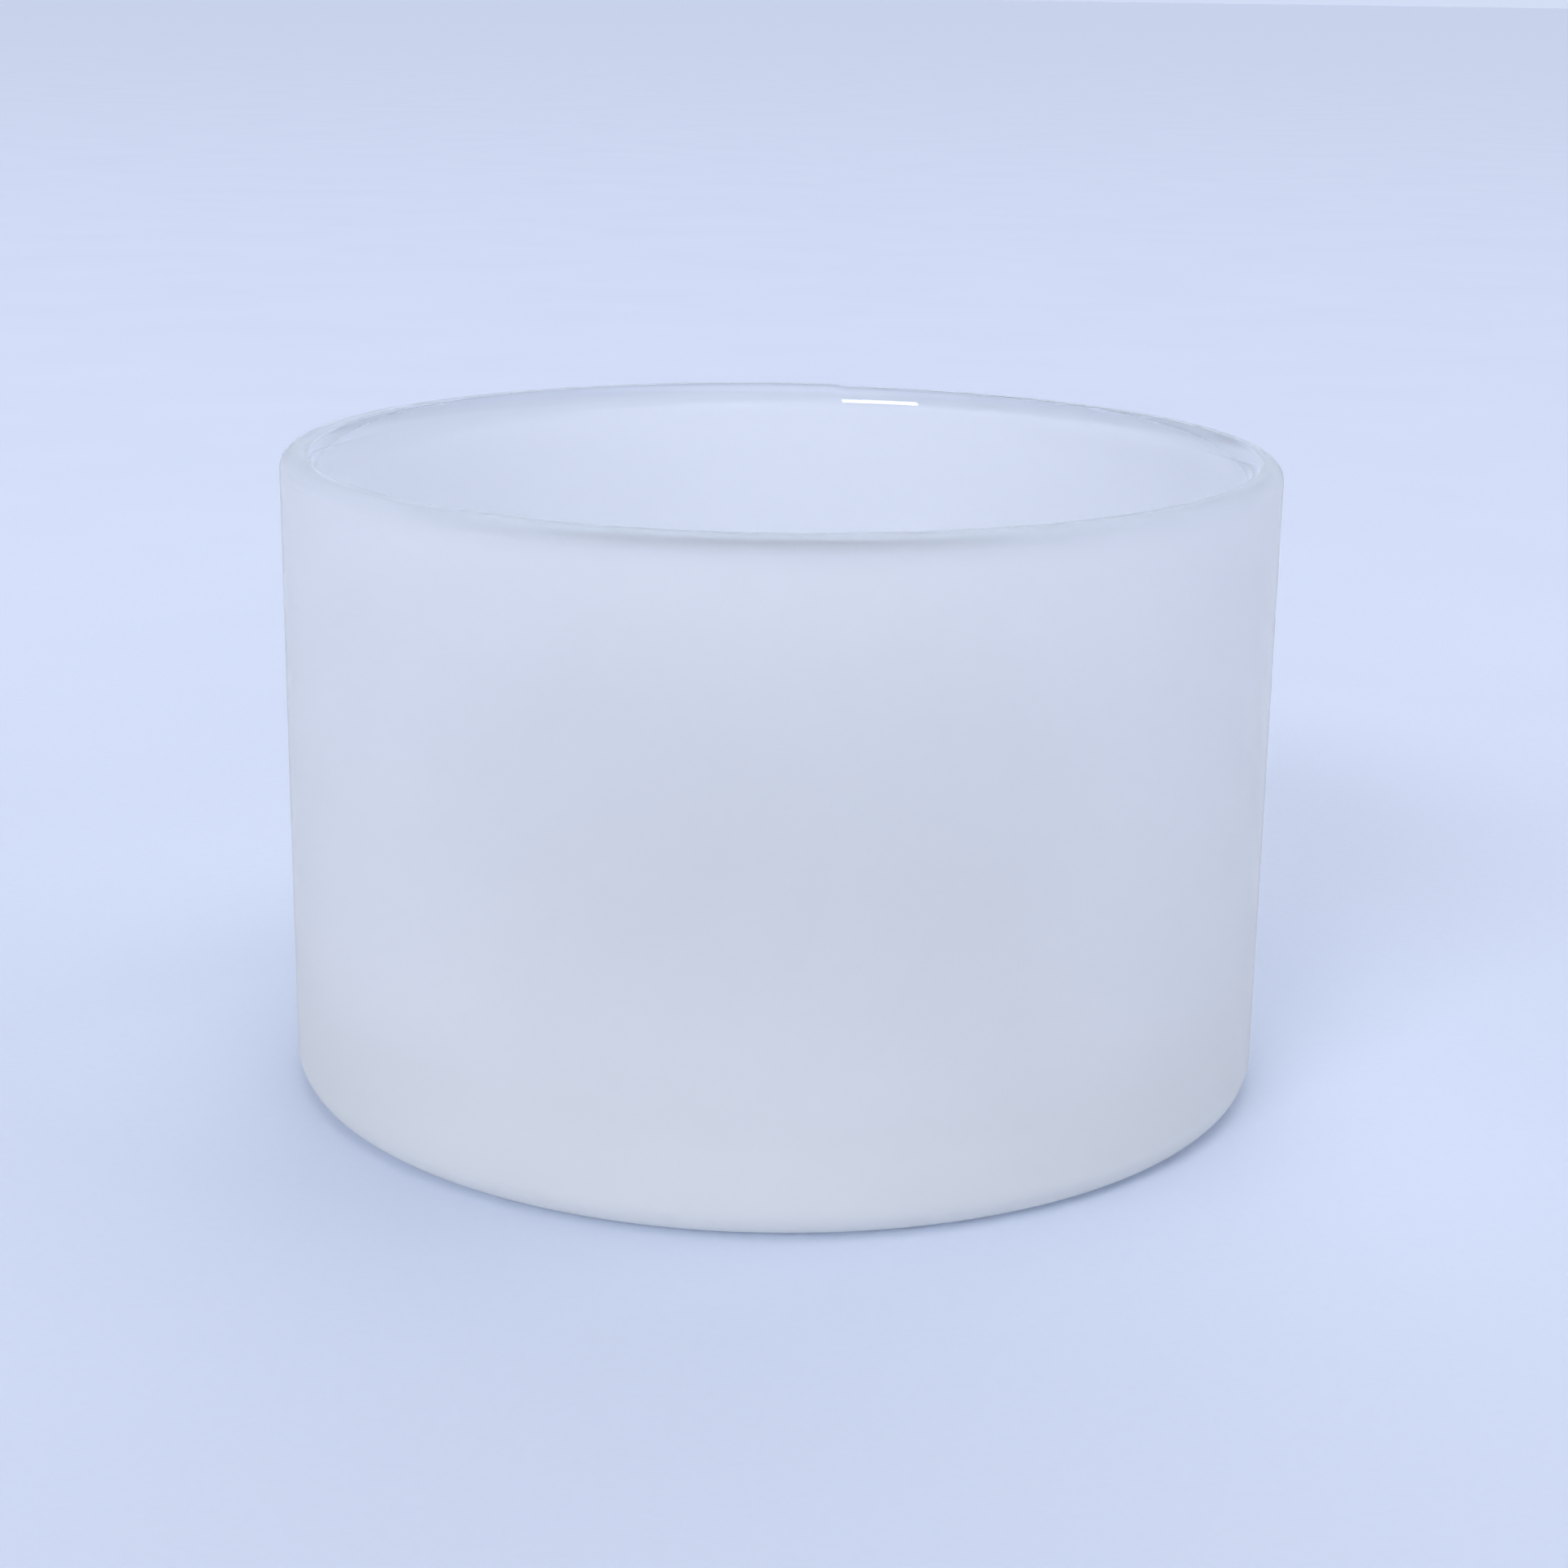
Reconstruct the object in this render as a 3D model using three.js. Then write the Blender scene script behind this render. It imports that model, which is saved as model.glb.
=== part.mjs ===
// An empty candle jar: a wide, straight-sided tumbler pressed in one piece of glass.
// Units are millimetres. +Z is up, and the origin is the centre of the base, on the plane that the jar stands on.
// The bare jar has no lid, wick or fitting, so the model is one solid of revolution in one mesh.
import * as THREE from "three";

// Driving dimensions.
const OUTER_DIAMETER = 124;
const HEIGHT = 80;
const WALL = 4.4; // thickness of the side wall, the same up to the rim
const FLOOR_LEVEL = 9; // height of the inner floor above the standing plane
const RIM_CREST = 0.4; // width of the level top between the rim's two roundings, where a lid rests
const BASE_CORNER = 3.8; // rounding between the outer wall and the underside
const INNER_CORNER = 7; // rounding between the inner wall and the inner floor
const BEARING_RING = 6; // width of the flat ring that the jar stands on
const DISH_DEPTH = 1.2; // how far the middle of the underside is domed up off the table

// How finely round shapes are faceted.
const SEGMENTS_AROUND = 80;
const ARC_DIVISIONS = 2; // an arc gets twice this many straight pieces

// Glass as it looks with its outside frosted.
const FROSTED_GLASS = { color: 0xe9eef2, roughness: 0.6, metalness: 0 };

const outerRadius = OUTER_DIAMETER / 2;
const innerRadius = outerRadius - WALL;
const rimRound = (WALL - RIM_CREST) / 2; // the rim is rounded right across, but for its crest

// The underside: a shallow dome over the middle, then the flat bearing ring.
function addUnderside(outline) {
  const ringOuter = outerRadius - BASE_CORNER;
  const ringInner = ringOuter - BEARING_RING;
  const domeRadius = (ringInner ** 2 + DISH_DEPTH ** 2) / (2 * DISH_DEPTH);
  const domeAngle = Math.asin(ringInner / domeRadius);
  const straightUp = Math.PI / 2;
  outline.moveTo(0, DISH_DEPTH);
  outline.absarc(0, DISH_DEPTH - domeRadius, domeRadius, straightUp, straightUp - domeAngle, true);
  outline.lineTo(ringOuter, 0);
}

// The outside: the rounded base corner, then straight up to where the rim starts to turn.
function addOuterWall(outline) {
  outline.absarc(outerRadius - BASE_CORNER, BASE_CORNER, BASE_CORNER, -Math.PI / 2, 0, false);
  outline.lineTo(outerRadius, HEIGHT - rimRound);
}

// The fire-polished rim: over the top from the outer wall to the inner one.
function addRim(outline) {
  const turnHeight = HEIGHT - rimRound;
  outline.absarc(outerRadius - rimRound, turnHeight, rimRound, 0, Math.PI / 2, false);
  outline.lineTo(innerRadius + rimRound, HEIGHT);
  outline.absarc(innerRadius + rimRound, turnHeight, rimRound, Math.PI / 2, Math.PI, false);
}

// The cavity: down the inner wall, round its foot, and in over the flat floor to the axis.
function addCavity(outline) {
  const cornerCentre = innerRadius - INNER_CORNER;
  outline.lineTo(innerRadius, FLOOR_LEVEL + INNER_CORNER);
  outline.absarc(cornerCentre, FLOOR_LEVEL + INNER_CORNER, INNER_CORNER, 0, -Math.PI / 2, true);
  outline.lineTo(0, FLOOR_LEVEL);
}

// Half of the jar's cross-section, from the axis below to the axis above: x is the radius and y the height.
function crossSection() {
  const outline = new THREE.Path();
  addUnderside(outline);
  addOuterWall(outline);
  addRim(outline);
  addCavity(outline);
  return outline.getPoints(ARC_DIVISIONS);
}

function makeGlassJar() {
  const geometry = new THREE.LatheGeometry(crossSection(), SEGMENTS_AROUND);
  geometry.rotateX(Math.PI / 2); // a lathe turns its outline about Y, and the jar stands along Z
  const jar = new THREE.Mesh(geometry, new THREE.MeshStandardMaterial(FROSTED_GLASS));
  jar.name = "glass_jar";
  return jar;
}

const candleJar = new THREE.Group();
candleJar.add(makeGlassJar());

export default candleJar;
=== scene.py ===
"""Looks of an empty candle jar: one piece of thick glass, frosted outside and over its rim, clear inside."""

import math

import bpy
from mathutils import Matrix, Vector


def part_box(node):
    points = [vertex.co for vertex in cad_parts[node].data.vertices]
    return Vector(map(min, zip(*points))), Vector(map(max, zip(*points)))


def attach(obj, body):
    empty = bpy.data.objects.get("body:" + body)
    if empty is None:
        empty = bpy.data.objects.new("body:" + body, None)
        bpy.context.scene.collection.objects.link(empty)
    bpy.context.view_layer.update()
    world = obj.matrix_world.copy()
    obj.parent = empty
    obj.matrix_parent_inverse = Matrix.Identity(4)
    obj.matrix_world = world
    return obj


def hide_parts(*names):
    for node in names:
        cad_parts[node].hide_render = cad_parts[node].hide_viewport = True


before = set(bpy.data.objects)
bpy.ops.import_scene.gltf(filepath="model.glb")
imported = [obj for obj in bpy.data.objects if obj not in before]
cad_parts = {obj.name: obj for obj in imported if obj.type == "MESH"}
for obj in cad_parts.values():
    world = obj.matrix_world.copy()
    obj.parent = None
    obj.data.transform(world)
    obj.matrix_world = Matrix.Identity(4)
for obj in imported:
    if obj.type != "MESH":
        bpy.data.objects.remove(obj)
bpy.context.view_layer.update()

MM = 0.001
low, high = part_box("glass_jar")
OUTER_RADIUS = (high.x - low.x) / 2
HEIGHT = high.z - low.z

# The jar's section, as in the CAD part, except that the rounding inside the rim is deeper.
WALL = 4.4 * MM
FLOOR_LEVEL = 9 * MM
RIM_CREST = 0.4 * MM
BASE_CORNER = 3.8 * MM
INNER_CORNER = 7 * MM
BEARING_RING = 6 * MM
DISH_DEPTH = 1.2 * MM
INNER_ROUND_DEPTH = 3.4 * MM

# How finely the jar is divided.
SEGMENTS_AROUND = 360
STRAIGHT_STEPS = 12
DISH_STEPS = 12
BASE_CORNER_STEPS = 12
RIM_OUTSIDE_STEPS = 16
RIM_INSIDE_STEPS = 24
INNER_CORNER_STEPS = 16
ON_AXIS = 1e-6 * MM

# The rim was melted smooth, so its height is a little uneven, with one small step at the back.
# Angles here go round the jar in degrees, anticlockwise from the camera's right, so the back is at 90.
RIM_WAVE = 0.06 * MM
RIM_WAVE_TURN = 40
RIM_STEP = 0.26 * MM
RIM_STEP_ANGLE = 83.5
RIM_STEP_WIDTH = 2.5
RIM_STEP_RUN = 120
RIM_DEPTH = 4 * MM

# The inner wall is a little uneven too, in broad waves.
INNER_WAVE = 0.10 * MM
INNER_WAVES = [
    # waves round the jar, radians per metre up it, shift in radians
    (2, 55, 0),
    (5, -90, 1),
]

# The frosting ends this far inside the rim's crest, further at the front and left than at the back.
FROST_PAST_CREST = 0.8 * MM
FROST_PAST_VARIES = 0.65 * MM
FROST_PAST_ANGLE = 230
FROST_FADE = 0.3 * MM

# The frosting's roughness and milkiness, from the top of the wall to its foot, and on the rim.
GLASS_IOR = 1.5
FROST_ROUGHNESS = 0.8
ROUGHNESS_VARIES = 0.05
WALL_MILK = 0.3
BASE_MILK = 0.62
RIM_MILK = 0.07
MILK_VARIES = 0.03
LOW_DOWN_FROM = 0.8 * HEIGHT
RIM_ZONE = 2.6 * MM
FOOT_TOP = 24 * MM
FOOT_LOW = 3 * MM

# The glass's faint tint, from the top of the wall down. The foot's colour is painted shade, making the thick
# foot darker and creamier.
TOP_COLOUR = (0.902, 0.912, 0.92, 1)
WALL_COLOUR = (0.908, 0.912, 0.913, 1)
FOOT_PAINTED_SHADE_COLOUR = (0.85, 0.858, 0.842, 1)
# The rim's two colours, for its frosted and its clear glass, are painted shade: they make the ring round the
# rim greyer and darker than the wall.
RIM_PAINTED_SHADE_COLOUR = (0.82, 0.86, 0.89, 1)
EDGE_PAINTED_SHADE_COLOUR = (0.84, 0.88, 0.91, 1)
CLOUD_COLOUR = (0.905, 0.915, 0.92, 1)
CLOUD_SCALE = 60
CLOUD_DETAIL = 3
CLOUD_CONTRAST = 0.5
GRAIN_SCALE = 2600
GRAIN_DETAIL = 2
GRAIN_DEPTH = 0.01 * MM
GRAIN_STRENGTH = 0.5

# The sheet lies a hair below the foot, so that the two flat faces never coincide.
SHEET_LEVEL = low.z - 0.05 * MM
SHEET_RADIUS = 60.0
SHEET_RINGS = 24
SHEET_SIDES = 96
SHEET_RING_GROWTH = 3
# The sheet's colour near the camera, and its far colour, which is painted light: the sheet turns paler behind
# the jar.
SHEET_NEAR = (0.63, 0.685, 0.79, 1)
SHEET_FAR_PAINTED_LIGHT = (0.72, 0.78, 0.90, 1)
SHEET_FAR_FROM = -2 * OUTER_RADIUS
SHEET_FAR_TO = 5 * OUTER_RADIUS
SHEET_ROUGHNESS = 0.9
PATCH_COLOUR = (0.585, 0.65, 0.785, 1)
PATCH_SCALE = 14
PATCH_DETAIL = 3
PATCH_CONTRAST = 0.35
TOOTH_COLOUR = (0.54, 0.60, 0.72, 1)
TOOTH_SCALE = 900
TOOTH_DETAIL = 2
TOOTH_CONTRAST = 0.25
TOOTH_DEPTH = 0.02 * MM

# The studio: an even dim light from all round, round glows in it, and a pale band along the horizon.
# Azimuth 0 is where the camera stands and 90 is the camera's right. Reaches and spreads are in degrees.
LIGHT_COLOUR = (0.95, 0.966, 1.059)
AMBIENT = 0.08
GLOW_REACH = 35
GLOWS = [
    # azimuth, elevation, strength
    (0, 50, 0.75),
    (0, 80, 1.7),
    (30, 15, 0.5),
]
HORIZON_COLOUR = (0.655, 0.725, 0.91, 1)
HORIZON_LOW = 0.20
HORIZON_TOP = 0.42

# Broad suns stand for light from large pale surroundings. Of the lamps, only the window is mirrored.
SUNS = [
    # name, azimuth, elevation, strength, spread
    ("key", -60, 42, 0.12, 22),
    ("fill", 95, 48, 0.45, 35),
    ("back_high", 170, 50, 0.80, 50),
    ("back_low", 180, 18, 0.30, 30),
]
LIGHTS_AWAY = 4.0
WINDOW_AZIMUTH = -27
WINDOW_ELEVATION = 32
WINDOW_POWER = 48
WINDOW_WIDTH = 1.5
WINDOW_HEIGHT = 0.85
LIGHT_BOUNCES = 64

CAMERA_AWAY = 5.761 * OUTER_RADIUS
CAMERA_ABOVE = 1.6853 * HEIGHT
CAMERA_DOWN = 15.445
CAMERA_TURN = -0.133
CAMERA_ROLL = 0.809
LENS_LENGTH = 65.94
SENSOR_WIDTH = 36


# ---------------------------------------------------------------- shape

def arc(centre_r, centre_z, radius, start, end, steps):
    """Points (r, z) round an arc, with its angles in degrees from outwards, anticlockwise."""
    points = []
    for i in range(steps + 1):
        angle = math.radians(start + (end - start) * i / steps)
        points.append((centre_r + radius * math.cos(angle), centre_z + radius * math.sin(angle)))
    return points


def line(start, end, steps):
    """Points (r, z) between two points, without the ends."""
    points = []
    for i in range(1, steps):
        t = i / steps
        points.append((start[0] + (end[0] - start[0]) * t, start[1] + (end[1] - start[1]) * t))
    return points


def join_up(stretches, steps):
    """One outline from several stretches, with the straight gaps between them divided into steps."""
    outline = list(stretches[0])
    for stretch in stretches[1:]:
        outline += line(outline[-1], stretch[0], steps) + stretch
    return outline


def underside():
    """The dish under the jar, from the axis out to the ring that it stands on."""
    ring_inner = OUTER_RADIUS - BASE_CORNER - BEARING_RING
    dish_radius = (ring_inner ** 2 + DISH_DEPTH ** 2) / (2 * DISH_DEPTH)
    dish_angle = math.degrees(math.asin(ring_inner / dish_radius))
    return arc(0, DISH_DEPTH - dish_radius, dish_radius, 90, 90 - dish_angle, DISH_STEPS)


def rim_stretches():
    """The rounding outside the rim's crest, and the longer one inside it."""
    rim_round = (WALL - RIM_CREST) / 2
    outside = arc(OUTER_RADIUS - rim_round, HEIGHT - rim_round, rim_round, 0, 90, RIM_OUTSIDE_STEPS)
    inside = []
    for r, z in arc(OUTER_RADIUS - WALL + rim_round, HEIGHT, rim_round, 90, 180, RIM_INSIDE_STEPS):
        inside.append((r, HEIGHT - (rim_round + HEIGHT - z) * INNER_ROUND_DEPTH / rim_round))
    return outside, inside


def jar_outline():
    """Half the section, from the axis below, round outside and over the rim, to the axis above."""
    base_corner = arc(OUTER_RADIUS - BASE_CORNER, BASE_CORNER, BASE_CORNER, -90, 0, BASE_CORNER_STEPS)
    rim_outside, rim_inside = rim_stretches()
    foot = OUTER_RADIUS - WALL - INNER_CORNER
    inner_corner = arc(foot, FLOOR_LEVEL + INNER_CORNER, INNER_CORNER, 0, -90, INNER_CORNER_STEPS)
    centre = [(0, FLOOR_LEVEL)]
    return join_up([underside(), base_corner, rim_outside, rim_inside, inner_corner, centre], STRAIGHT_STEPS)


def smooth(start, end, x):
    """0 before start, 1 after end, and a smooth rise between them."""
    t = max(0.0, min(1.0, (x - start) / (end - start)))
    return t * t * (3 - 2 * t)


def frosting(r, z, angle):
    """How frosted the glass is: 1 outside and just past the rim's crest, fading to 0 inside."""
    crest = OUTER_RADIUS - WALL / 2
    if z > HEIGHT - WALL / 2:
        turned = math.cos(math.radians(angle - FROST_PAST_ANGLE))
        edge = crest - FROST_PAST_CREST - FROST_PAST_VARIES * turned
        return smooth(edge - FROST_FADE, edge + FROST_FADE, r)
    return 1.0 if r > crest or z < FLOOR_LEVEL / 2 else 0.0


def rim_dip(angle):
    """How far the rim lies below its highest place at an angle."""
    wave = RIM_WAVE * (1 - math.cos(math.radians(2 * angle + RIM_WAVE_TURN))) / 2
    past = (RIM_STEP_ANGLE - angle) % 360
    step = smooth(0, RIM_STEP_WIDTH, past) * (1 - smooth(RIM_STEP_WIDTH, RIM_STEP_RUN, past))
    return wave + RIM_STEP * step


def inner_swell(angle, z):
    """How much thicker than drawn the glass is inside, where it was blown or pressed unevenly."""
    waves = 0
    for turns, climb, shift in INNER_WAVES:
        waves += 1 + math.sin(turns * math.radians(angle) + climb * z + shift)
    above_corner = smooth(FLOOR_LEVEL, FLOOR_LEVEL + INNER_CORNER, z)
    below_rim = 1 - smooth(HEIGHT - RIM_DEPTH, HEIGHT, z)
    return INNER_WAVE * waves / (2 * len(INNER_WAVES)) * above_corner * below_rim


def as_made(r, z, angle):
    """A point of the outline at an angle, with the small unevenness of the real glass."""
    z -= rim_dip(angle) * smooth(HEIGHT - RIM_DEPTH, HEIGHT - RIM_DEPTH / 4, z)
    if frosting(r, z, angle) == 0:
        r -= inner_swell(angle, z) * min(1.0, r / (OUTER_RADIUS - WALL))
    return r, z


def ring_faces(ring, next_ring):
    """The faces between two rings, each given as its first vertex and its count. A count of 1 is a point."""
    a, a_count = ring
    b, b_count = next_ring
    faces = []
    for i in range(SEGMENTS_AROUND):
        j = (i + 1) % SEGMENTS_AROUND
        if a_count == 1:
            faces.append((a, b + j, b + i))
        elif b_count == 1:
            faces.append((a + i, a + j, b))
        else:
            faces.append((a + i, a + j, b + j, b + i))
    return faces


def revolve(outline, name):
    """A closed mesh of the outline turned about Z, with its frosting as a vertex attribute."""
    vertices, faces, frost, rings = [], [], [], []
    for r, z in outline:
        count = 1 if r < ON_AXIS else SEGMENTS_AROUND
        rings.append((len(vertices), count))
        for i in range(count):
            angle = 360 * i / SEGMENTS_AROUND
            made_r, made_z = as_made(r, z, angle)
            turn = math.radians(angle)
            vertices.append((made_r * math.cos(turn), made_r * math.sin(turn), made_z))
            frost.append(frosting(r, z, angle))
    for ring, next_ring in zip(rings, rings[1:]):
        faces += ring_faces(ring, next_ring)
    mesh = bpy.data.meshes.new(name)
    mesh.from_pydata(vertices, [], faces)
    mesh.validate()
    mesh.shade_smooth()
    attribute = mesh.attributes.new("frost", "FLOAT", "POINT")
    attribute.data.foreach_set("value", frost)
    piece = bpy.data.objects.new(name, mesh)
    bpy.context.scene.collection.objects.link(piece)
    return piece


# ---------------------------------------------------------------- materials

class Nodes:
    """A short way to lay out the nodes of a material or of the world, ending in its own shader."""

    def __init__(self, owner, shader):
        owner.use_nodes = True
        self.owner = owner
        self.tree = owner.node_tree
        self.shader = self.tree.nodes[shader]

    def feed(self, socket, value):
        """Links another node's output to a socket, or sets a plain value on it."""
        if isinstance(value, bpy.types.NodeSocket):
            self.tree.links.new(value, socket)
        else:
            socket.default_value = value

    def add(self, kind, inputs=None, **settings):
        node = self.tree.nodes.new(kind)
        for key, value in settings.items():
            setattr(node, key, value)
        for key, value in (inputs or {}).items():
            self.feed(node.inputs[key], value)
        return node

    def noise(self, place, scale, detail):
        inputs = {"Vector": place, "Scale": scale, "Detail": detail}
        return self.add("ShaderNodeTexNoise", inputs).outputs["Fac"]

    def ranged(self, value, least, most):
        """A value between 0 and 1 stretched to lie between least and most."""
        inputs = {"Value": value, "To Min": least, "To Max": most}
        return self.add("ShaderNodeMapRange", inputs).outputs["Result"]

    def rise(self, value, start, end):
        """0 at start, 1 at end, and a smooth rise between them."""
        inputs = {"Value": value, "From Min": start, "From Max": end}
        return self.add("ShaderNodeMapRange", inputs, interpolation_type="SMOOTHSTEP").outputs["Result"]

    def maths(self, operation, first, second):
        return self.add("ShaderNodeMath", {0: first, 1: second}, operation=operation).outputs["Value"]

    def between(self, factor, first, second):
        """A number between two numbers. The socket names repeat, so they are given by their places."""
        return self.add("ShaderNodeMix", {0: factor, 2: first, 3: second}).outputs[0]

    def blend(self, factor, first, second):
        """A colour between two colours, with the sockets given by their places as above."""
        return self.add("ShaderNodeMix", {0: factor, 6: first, 7: second}, data_type="RGBA").outputs[2]

    def bump(self, height, distance, strength):
        inputs = {"Height": height, "Distance": distance, "Strength": strength}
        return self.add("ShaderNodeBump", inputs).outputs["Normal"]

    def set(self, **inputs):
        """Feeds the shader's own sockets, with _ for each space in a socket's name."""
        for key, value in inputs.items():
            self.feed(self.shader.inputs[key.replace("_", " ")], value)


def glass_colour_and_painted_shade(n, frost, cloud, height):
    """A faint tint, cloudy where frosted, with painted shade that makes it darker and creamier towards the
    foot and greyer on the rim.
    """
    at_foot = n.rise(height, FOOT_TOP, FOOT_LOW)
    low_down = n.rise(height, LOW_DOWN_FROM, 0.0)
    at_rim = n.rise(height, HEIGHT - RIM_ZONE, HEIGHT)
    # Towards the foot the colour turns to painted shade, darker and creamier.
    colour = n.blend(at_foot, n.blend(low_down, TOP_COLOUR, WALL_COLOUR), FOOT_PAINTED_SHADE_COLOUR)
    cloudy = n.maths("MULTIPLY", n.maths("MULTIPLY", cloud, frost), CLOUD_CONTRAST)
    colour = n.blend(cloudy, colour, CLOUD_COLOUR)
    # Painted shade: the ring round the rim is greyer and darker.
    return n.blend(at_rim, colour, n.blend(frost, EDGE_PAINTED_SHADE_COLOUR, RIM_PAINTED_SHADE_COLOUR))


def glass_clearness(n, frost, cloud, height):
    """How much light goes through: all of it where clear, and less where the frosting is milky."""
    low_down = n.rise(height, LOW_DOWN_FROM, 0.0)
    at_rim = n.rise(height, HEIGHT - RIM_ZONE, HEIGHT)
    milk = n.ranged(low_down, WALL_MILK, BASE_MILK)
    milk = n.maths("ADD", milk, n.ranged(cloud, -MILK_VARIES, MILK_VARIES))
    milk = n.between(at_rim, milk, RIM_MILK)
    return n.maths("SUBTRACT", 1.0, n.maths("MULTIPLY", milk, frost))


def glass_material():
    """Clear glass inside, and outside a satin frosting that scatters light and is a little milky."""
    n = Nodes(bpy.data.materials.new("frosted_glass"), "Principled BSDF")
    frost = n.add("ShaderNodeAttribute", attribute_name="frost").outputs["Fac"]
    place = n.add("ShaderNodeTexCoord").outputs["Object"]
    height = n.add("ShaderNodeSeparateXYZ", {"Vector": place}).outputs["Z"]
    cloud = n.noise(place, CLOUD_SCALE, CLOUD_DETAIL)
    grain = n.noise(place, GRAIN_SCALE, GRAIN_DETAIL)
    satin = n.ranged(cloud, FROST_ROUGHNESS - ROUGHNESS_VARIES, FROST_ROUGHNESS + ROUGHNESS_VARIES)
    n.set(
        Base_Color=glass_colour_and_painted_shade(n, frost, cloud, height),
        Roughness=n.maths("MULTIPLY", satin, frost),
        IOR=GLASS_IOR,
        Transmission_Weight=glass_clearness(n, frost, cloud, height),
        Normal=n.bump(grain, GRAIN_DEPTH, n.maths("MULTIPLY", frost, GRAIN_STRENGTH)),
    )
    return n.owner


def floor_material():
    """A pale matt sheet with a fine tooth and faint cloudy patches, with painted light making it a little
    paler behind the jar.
    """
    n = Nodes(bpy.data.materials.new("pale_sheet"), "Principled BSDF")
    place = n.add("ShaderNodeTexCoord").outputs["Object"]
    away = n.add("ShaderNodeSeparateXYZ", {"Vector": place}).outputs["Y"]
    patches = n.noise(place, PATCH_SCALE, PATCH_DETAIL)
    tooth = n.noise(place, TOOTH_SCALE, TOOTH_DETAIL)
    # Painted light: the sheet turns paler from in front of the jar to behind it.
    colour = n.blend(n.rise(away, SHEET_FAR_FROM, SHEET_FAR_TO), SHEET_NEAR, SHEET_FAR_PAINTED_LIGHT)
    colour = n.blend(n.maths("MULTIPLY", patches, PATCH_CONTRAST), colour, PATCH_COLOUR)
    colour = n.blend(n.maths("MULTIPLY", tooth, TOOTH_CONTRAST), colour, TOOTH_COLOUR)
    toothed = n.bump(tooth, TOOTH_DEPTH, 1.0)
    n.set(Base_Color=colour, Roughness=SHEET_ROUGHNESS, Specular_IOR_Level=0.0, Normal=toothed)
    return n.owner


# ---------------------------------------------------------------- scene

def make_jar():
    jar = revolve(jar_outline(), "candle_jar_glass")
    jar.data.materials.append(glass_material())
    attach(jar, "root")
    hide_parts("glass_jar")


def make_floor():
    """A round sheet, wide enough that its far edge lies at the horizon."""
    vertices, faces = [(0, 0, SHEET_LEVEL)], []
    for ring in range(1, SHEET_RINGS + 1):
        radius = SHEET_RADIUS * (ring / SHEET_RINGS) ** SHEET_RING_GROWTH
        for i in range(SHEET_SIDES):
            angle = 2 * math.pi * i / SHEET_SIDES
            vertices.append((radius * math.cos(angle), radius * math.sin(angle), SHEET_LEVEL))
    for i in range(SHEET_SIDES):
        j = (i + 1) % SHEET_SIDES
        faces.append((0, 1 + i, 1 + j))
        for ring in range(SHEET_RINGS - 1):
            a = 1 + ring * SHEET_SIDES
            b = a + SHEET_SIDES
            faces.append((a + i, b + i, b + j, a + j))
    mesh = bpy.data.meshes.new("sheet")
    mesh.from_pydata(vertices, [], faces)
    floor = bpy.data.objects.new("sheet", mesh)
    bpy.context.scene.collection.objects.link(floor)
    mesh.materials.append(floor_material())


def towards(azimuth, elevation):
    """The direction from the jar to a place at an azimuth and elevation."""
    turn, lift = math.radians(azimuth), math.radians(elevation)
    return Vector((math.sin(turn) * math.cos(lift), -math.cos(turn) * math.cos(lift), math.sin(lift)))


def add_glow(n, direction, sky, azimuth, elevation, strength):
    """The sky with a round glow added to it, brightest in the middle."""
    middle = towards(azimuth, elevation)
    facing = n.add("ShaderNodeVectorMath", {0: direction, 1: middle}, operation="DOT_PRODUCT")
    reach = n.rise(facing.outputs["Value"], math.cos(math.radians(GLOW_REACH)), 1.0)
    light = [strength * part for part in LIGHT_COLOUR]
    lit = n.add("ShaderNodeVectorMath", {0: reach, 1: light, 2: sky}, operation="MULTIPLY_ADD")
    return lit.outputs["Vector"]


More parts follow.
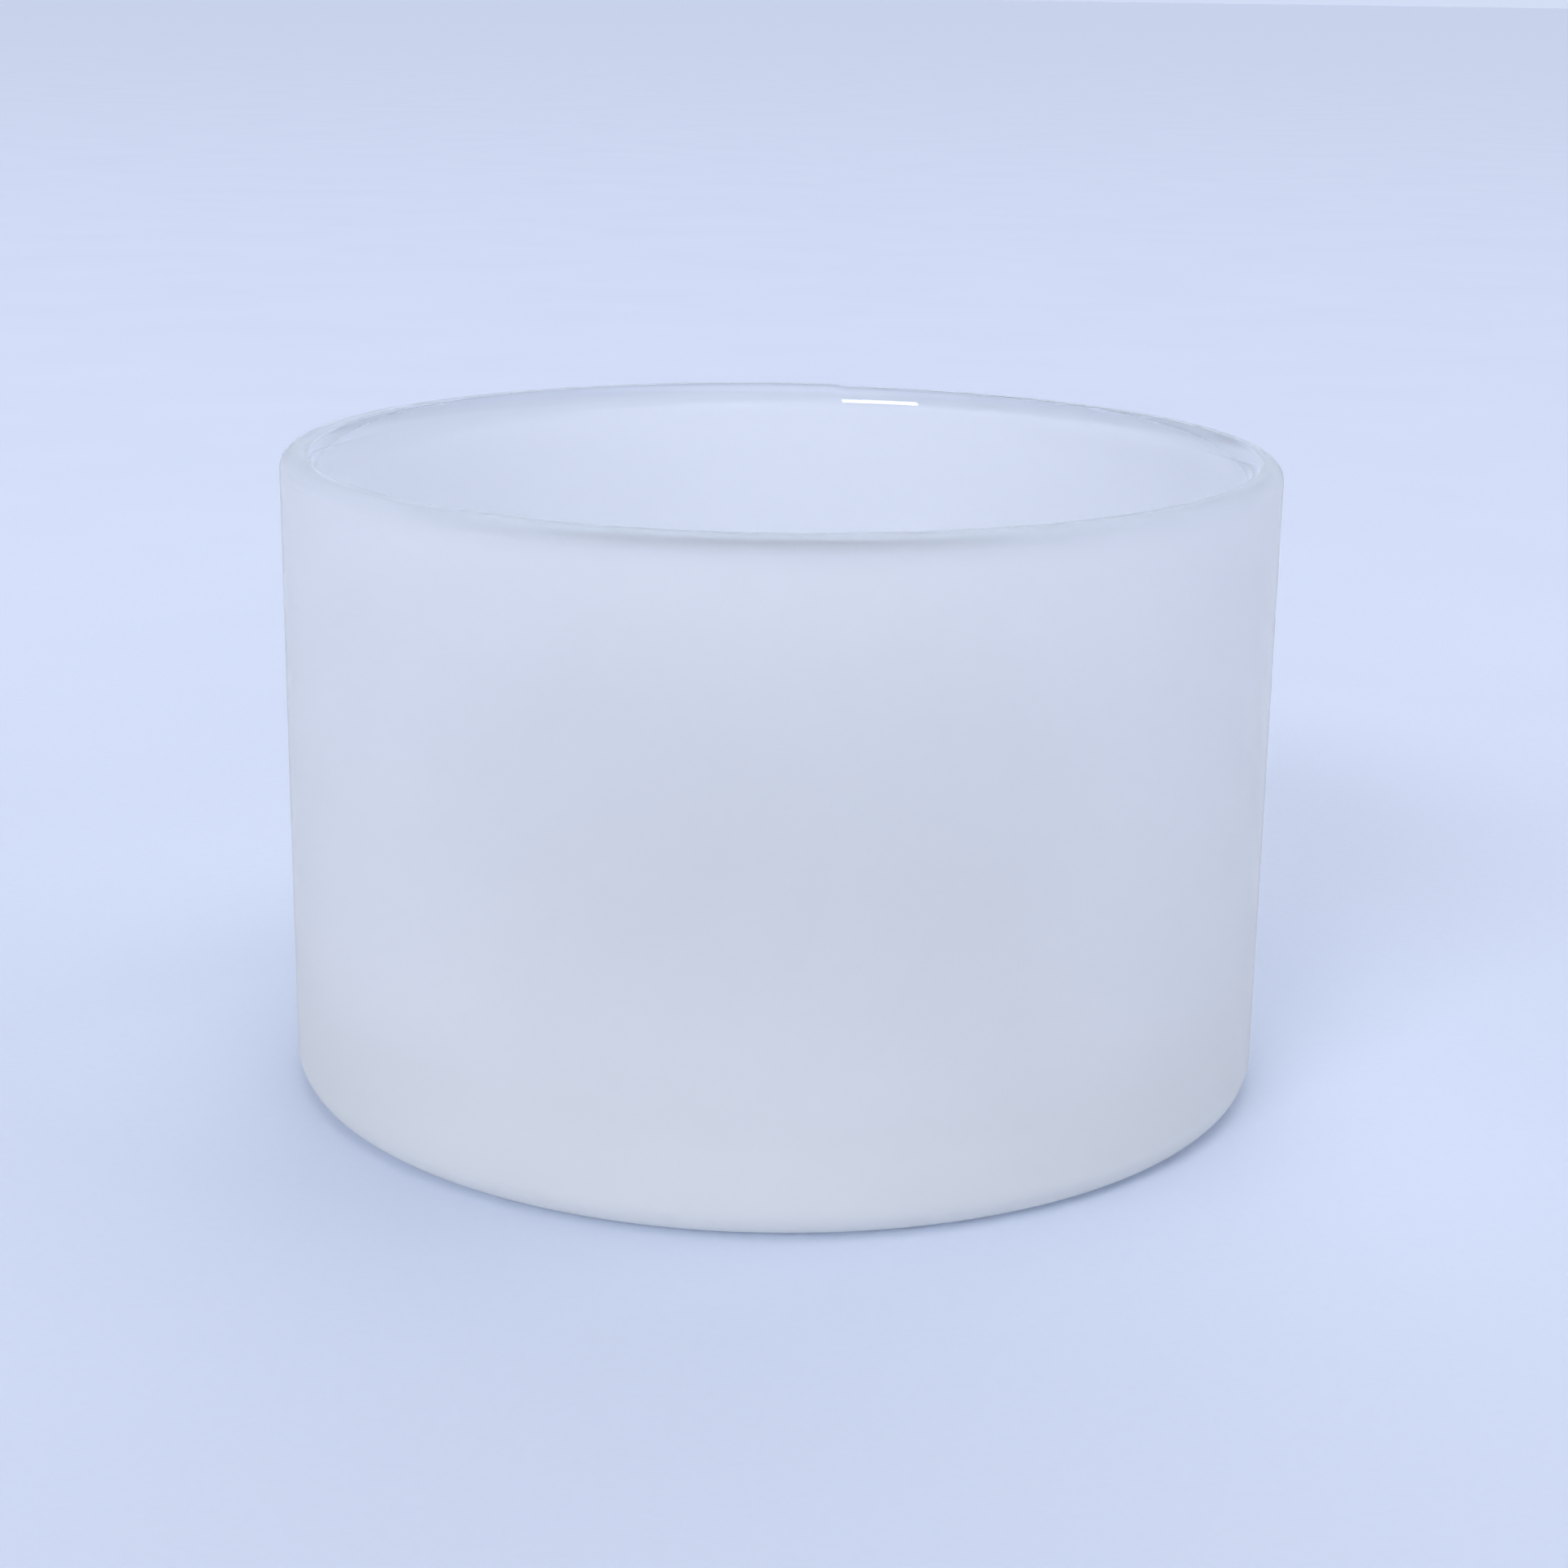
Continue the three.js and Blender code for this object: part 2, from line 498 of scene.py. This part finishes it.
def make_world():
    """A soft studio: broad glows overhead and in front, and a plain pale band along the horizon."""
    n = Nodes(bpy.data.worlds.new("studio"), "Background")
    direction = n.add("ShaderNodeTexCoord").outputs["Generated"]
    sky = [AMBIENT * part for part in LIGHT_COLOUR]
    for azimuth, elevation, strength in GLOWS:
        sky = add_glow(n, direction, sky, azimuth, elevation, strength)
    lift = n.add("ShaderNodeSeparateXYZ", {"Vector": direction}).outputs["Z"]
    n.set(Color=n.blend(n.rise(lift, HORIZON_TOP, HORIZON_LOW), sky, HORIZON_COLOUR))
    bpy.context.scene.world = n.owner


def add_light(name, kind, azimuth, elevation, energy):
    """A light that points at the jar's rim."""
    data = bpy.data.lights.new(name, kind)
    data.energy = energy
    data.color = LIGHT_COLOUR
    light = bpy.data.objects.new(name, data)
    out = towards(azimuth, elevation)
    light.location = Vector((0, 0, HEIGHT)) + out * LIGHTS_AWAY
    light.rotation_euler = (-out).to_track_quat("-Z", "Y").to_euler()
    bpy.context.scene.collection.objects.link(light)
    return light


def make_lights():
    for name, azimuth, elevation, strength, spread in SUNS:
        sun = add_light(name, "SUN", azimuth, elevation, strength)
        sun.data.angle = math.radians(spread)
        sun.visible_glossy = False
    window = add_light("window", "AREA", WINDOW_AZIMUTH, WINDOW_ELEVATION, WINDOW_POWER).data
    window.shape = "RECTANGLE"
    window.size = WINDOW_WIDTH
    window.size_y = WINDOW_HEIGHT


def make_camera():
    """A camera in front of the jar and a little above it."""
    data = bpy.data.cameras.new("camera")
    data.sensor_width = SENSOR_WIDTH
    data.lens = LENS_LENGTH
    camera = bpy.data.objects.new("camera", data)
    turn = Matrix.Rotation(math.radians(CAMERA_TURN), 4, "Z")
    tilt = Matrix.Rotation(math.radians(90 - CAMERA_DOWN), 4, "X")
    roll = Matrix.Rotation(math.radians(CAMERA_ROLL), 4, "Z")
    camera.matrix_world = Matrix.Translation((0, -CAMERA_AWAY, CAMERA_ABOVE)) @ turn @ tilt @ roll
    bpy.context.scene.collection.objects.link(camera)
    bpy.context.scene.camera = camera


def set_light_paths():
    """Enough bounces for light to cross the frosted wall and the clear inside many times, and plain tones."""
    cycles = bpy.context.scene.cycles
    cycles.max_bounces = LIGHT_BOUNCES
    cycles.transmission_bounces = LIGHT_BOUNCES
    cycles.diffuse_bounces = LIGHT_BOUNCES
    cycles.glossy_bounces = LIGHT_BOUNCES
    cycles.blur_glossy = 0.0
    bpy.context.scene.view_settings.view_transform = "Standard"


make_camera()
make_jar()
make_floor()
make_world()
make_lights()
set_light_paths()
